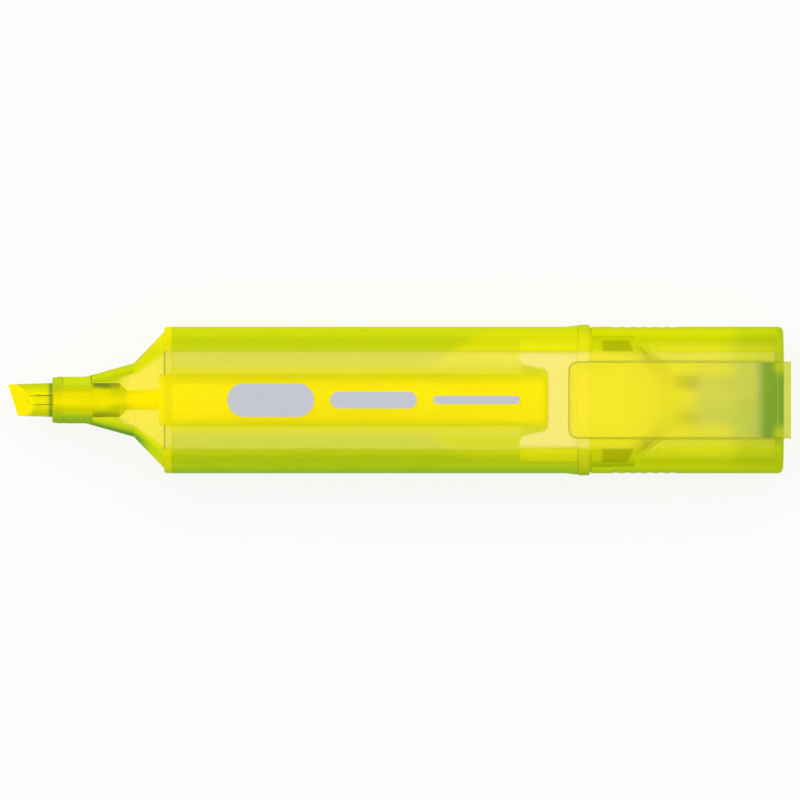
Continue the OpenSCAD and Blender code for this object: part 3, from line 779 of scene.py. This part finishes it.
def nib_fibre(look):
    """Nib: painted light on the bevel and the tail, painted round shade on the body, painted shadow
    where the nose covers it.
    """
    f = Fibre("nib_fibre", look, look.body, (0.6, 6.0, 6.0))
    bevel = f.x + (f.y + 0.8) ** 2 * 0.27
    # Painted light on the bevel, painted round shade on the rod behind it and towards its edges
    rod = f.step(bevel, -55.0, -54.5) * f.step(f.x, NIB_END + 0.5, NIB_END - 0.5)
    f.mark(rod, look.rod)
    f.mark(rod * f.step(f.across, 0.6, 2.5), look.edge)
    f.mark(rod * f.near * f.step(f.across, 0.9, 2.5), look.nib_near_shade)

    # Painted shade: dark lens either side of the nib inside the cone, fading towards the tail
    lens = f.band(f.x, LENS_START, LENS_END, 0.15)
    lens = lens * f.step(f.across + (f.x - LENS_START) * 0.12, 1.6, 2.3)
    fade = f.step(f.x, -44.6, LENS_END) * 0.5
    f.mark(lens * (1.0 - f.near * 0.55) * (1.0 - fade), look.lens)

    # Painted light: the tail brighter, also by a stronger painted glow
    tail = f.step(f.x, NIB_END - 0.1, NIB_END + 0.9)
    f.mark(tail, look.soaked)
    # Painted shade round the nib's neck inside the nose
    neck = f.step(f.x, -43.8, -42.8) * f.step(f.x, -39.4, -40.9) * f.band(f.across, 0.65, 1.9, 0.5)
    f.mark(neck * 0.75, look.edge)

    # Painted shade along the edges of the air channel, and the painted shadow at the nose's edge
    channel = f.band(f.corner(CHANNEL_END - f.x, f.across), 0.62, 0.78, 0.05)
    channel = channel * f.step(f.x, NOSE_END + 0.4, NOSE_END - 0.1)
    f.mark(channel * (0.3 + f.step(f.x, CHANNEL_END, CHANNEL_END + 0.9) * 0.7), look.line)
    shadow = f.step(f.x, NOSE_END - 1.0, NOSE_END - 0.2) * f.step(f.x, NOSE_END + 0.1, NOSE_END)
    f.mark(shadow * 0.8, look.dark)
    return f.soak(0.55, look.nib_glow / look.glow + tail * 0.45)


def reservoir_fibre(name, look, stretch, roughness):
    """Core or film of the reservoir: painted light along its crest, painted shade where it turns
    away.
    """
    f = Fibre(name, look, look.soaked, stretch)
    crest = f.corner(f.x - (RESERVOIR_END - 1.3), abs(f.y + 0.25) - 2.2)
    f.mark(f.step(crest, 0.0, 1.5), look.limb)
    return f.soak(roughness)


class HIGHLIGHTER_OT_shells(bpy.types.Operator):
    """Give the barrel and the front section their dyed plastic"""

    bl_idname = "highlighter.shells"
    bl_label = "Dress Shells"

    def execute(self, context):
        dress("barrel", barrel_plastic(context.scene.highlighter_barrel))
        dress("front_section", front_plastic(context.scene.highlighter_front))
        return {"FINISHED"}


class HIGHLIGHTER_OT_cap(bpy.types.Operator):
    """Give the cap and its clip their dyed plastic"""

    bl_idname = "highlighter.cap"
    bl_label = "Dress Cap"

    def execute(self, context):
        look = context.scene.highlighter_cap
        dress("cap", cap_plastic(look))
        dress("clip", clip_plastic(look))
        return {"FINISHED"}


class HIGHLIGHTER_OT_plugs(bpy.types.Operator):
    """Give the rear plug and the inner cap their milky plastic"""

    bl_idname = "highlighter.plugs"
    bl_label = "Dress Plugs"

    def execute(self, context):
        look = context.scene.highlighter_plug
        dress("rear_plug", plug_plastic(look))
        dress("inner_cap", inner_plastic(look))
        return {"FINISHED"}


class HIGHLIGHTER_OT_ink(bpy.types.Operator):
    """Give the nib and the reservoir their soaked fibre"""

    bl_idname = "highlighter.ink"
    bl_label = "Dress Ink Pieces"

    def execute(self, context):
        look = context.scene.highlighter_ink
        dress("nib", nib_fibre(look))
        dress("reservoir_core", reservoir_fibre("core_fibre", look, (0.3, 5.0, 5.0), 0.7))
        dress("reservoir_film", reservoir_fibre("film_sleeve", look, (0.1, 2.0, 2.0), 0.3))
        return {"FINISHED"}


class HIGHLIGHTER_OT_print(bpy.types.Operator):
    """Print three silver strokes of falling width on the barrel"""

    bl_idname = "highlighter.print"
    bl_label = "Print Strokes"

    def execute(self, context):
        look = context.scene.highlighter_print
        shape = bmesh.new()
        for i in range(look.strokes):
            left = BARREL_FRONT + look.start + i * (look.stroke + look.gap)
            self.stroke(shape, left, look.stroke, look.widest / 2**i)
        mesh = bpy.data.meshes.new("barrel_print")
        shape.to_mesh(mesh)
        shape.free()
        piece = bpy.data.objects.new("barrel_print", mesh)
        context.scene.collection.objects.link(piece)
        mesh.materials.append(self.silver(look))
        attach(piece, "pen")
        return {"FINISHED"}

    def stroke(self, shape, left, run, width):
        """One stroke with round ends, a film of ink on the flat."""
        radius = width / 2
        outline = []
        for centre, turn in ((left + run - radius, -90.0), (left + radius, 90.0)):
            for k in range(END_STEPS + 1):
                angle = math.radians(turn + 180.0 * k / END_STEPS)
                outline.append((centre + radius * math.cos(angle), radius * math.sin(angle)))
        low, high = (
            [shape.verts.new((px, py, (FLAT_HEIGHT + film) * MM)) for px, py in outline]
            for film in (INK_LOW, INK_HIGH)
        )
        shape.faces.new(high)
        shape.faces.new(low[::-1])
        count = len(outline)
        for k in range(count):
            n = (k + 1) % count
            shape.faces.new((low[k], low[n], high[n], high[k]))

    def silver(self, look):
        """Silver ink with the speckle of its flakes."""
        f = Finish("silver_print")
        flakes = f.grain(f.place(), (1.0, 1.0, 1.0), 5.0)
        dim = (c * (1.0 - FLAKE) for c in look.silver)
        bright = (min(1.0, c * (1.0 + FLAKE)) for c in look.silver)
        body = f.blend(flakes, rgba(dim), rgba(bright))
        ink = f.node(
            "ShaderNodeBsdfPrincipled",
            None,
            {"Base Color": body, "Roughness": 0.35 + flakes * 0.2},
        )
        return f.show(ink)


class HIGHLIGHTER_OT_stage(bpy.types.Operator):
    """Lay the floor, set the light and aim the camera"""

    bl_idname = "highlighter.stage"
    bl_label = "Set Stage"

    def execute(self, context):
        scene = context.scene
        look = scene.highlighter_stage
        scene.view_settings.view_transform = "Standard"
        scene.cycles.transparent_max_bounces = CLEAR_LAYERS
        self.floor(scene, look)
        self.light(scene, look)
        self.camera(scene, look)
        return {"FINISHED"}

    def floor(self, scene, look):
        """Wide pale floor that keeps the pen's shadow."""
        mesh = bpy.data.meshes.new("floor")
        ring = ((-1, -1), (1, -1), (1, 1), (-1, 1))
        mesh.from_pydata(
            [(x * FLOOR_HALF, y * FLOOR_HALF, 0) for x, y in ring], [], [(0, 1, 2, 3)]
        )
        plane = bpy.data.objects.new("floor", mesh)
        scene.collection.objects.link(plane)
        f = Finish("pale_floor")
        matt = f.node("ShaderNodeBsdfDiffuse", None, {"Color": rgba(look.floor)})
        white = f.node("ShaderNodeEmission", None, {"Strength": 1.0})
        mesh.materials.append(f.show(f.mix(f.seen() * look.white, matt, white)))

    def light(self, scene, look):
        """Even sky and one broad lamp on the far side."""
        world = bpy.data.worlds.new("even_sky")
        scene.world = world
        f = Finish.of(world)
        even = f.node("ShaderNodeBackground", None, {"Color": WHITE, "Strength": look.sky})
        white = f.node("ShaderNodeBackground", None, {"Color": WHITE, "Strength": 1.0})
        f.node("ShaderNodeOutputWorld", None, {"Surface": f.mix(f.seen(), even, white)})
        lamp = bpy.data.lights.new("softbox", "AREA")
        lamp.shape = "RECTANGLE"
        lamp.size, lamp.size_y = LAMP_SIZE
        lamp.energy = look.key
        box = bpy.data.objects.new("softbox", lamp)
        scene.collection.objects.link(box)
        box.location = LAMP_PLACE
        aim = Vector((0, 0, AXIS_HEIGHT * MM)) - box.location
        box.rotation_euler = aim.to_track_quat("-Z", "Y").to_euler()
        box.visible_camera = False

    def camera(self, scene, look):
        """Straight down, the nib at the left."""
        data = bpy.data.cameras.new("camera")
        data.sensor_width = SENSOR
        data.lens = look.lens
        eye = bpy.data.objects.new("camera", data)
        scene.collection.objects.link(eye)
        reach = look.frame_width * look.lens / SENSOR
        eye.location = (EYE_OFFSET * MM, 0.0, AXIS_HEIGHT * MM + reach)
        scene.camera = eye


class HIGHLIGHTER_PT_finishes(bpy.types.Panel):
    """Finishes of the highlighter"""

    bl_idname = "HIGHLIGHTER_PT_finishes"
    bl_label = "Highlighter"
    bl_space_type = "VIEW_3D"
    bl_region_type = "UI"
    bl_category = "Highlighter"

    def draw(self, context):
        for name, _, operator in LOOKS:
            box = self.layout.box()
            look = getattr(context.scene, name)
            for key in look.__annotations__:
                box.prop(look, key)
            box.operator(operator)


# Each group of settings: its name on the scene, its class and the operator that uses it
LOOKS = (
    ("highlighter_barrel", BarrelLook, "highlighter.shells"),
    ("highlighter_front", FrontLook, "highlighter.shells"),
    ("highlighter_plug", PlugLook, "highlighter.plugs"),
    ("highlighter_cap", CapLook, "highlighter.cap"),
    ("highlighter_ink", InkLook, "highlighter.ink"),
    ("highlighter_print", PrintLook, "highlighter.print"),
    ("highlighter_stage", StageLook, "highlighter.stage"),
)
CLASSES = (
    *(look for _, look, _ in LOOKS),
    HIGHLIGHTER_OT_shells,
    HIGHLIGHTER_OT_cap,
    HIGHLIGHTER_OT_plugs,
    HIGHLIGHTER_OT_ink,
    HIGHLIGHTER_OT_print,
    HIGHLIGHTER_OT_stage,
    HIGHLIGHTER_PT_finishes,
)


def register():
    """Adds the classes and the scene's settings."""
    for cls in CLASSES:
        bpy.utils.register_class(cls)
    for name, look, _ in LOOKS:
        setattr(bpy.types.Scene, name, PointerProperty(type=look))


def unregister():
    """Takes the settings and the classes away again."""
    for name, _, _ in LOOKS:
        delattr(bpy.types.Scene, name)
    for cls in reversed(CLASSES):
        bpy.utils.unregister_class(cls)


def main():
    """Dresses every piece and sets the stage."""
    register()
    bpy.ops.highlighter.shells()
    bpy.ops.highlighter.cap()
    bpy.ops.highlighter.plugs()
    bpy.ops.highlighter.ink()
    bpy.ops.highlighter.print()
    bpy.ops.highlighter.stage()


if __name__ == "__main__":
    main()
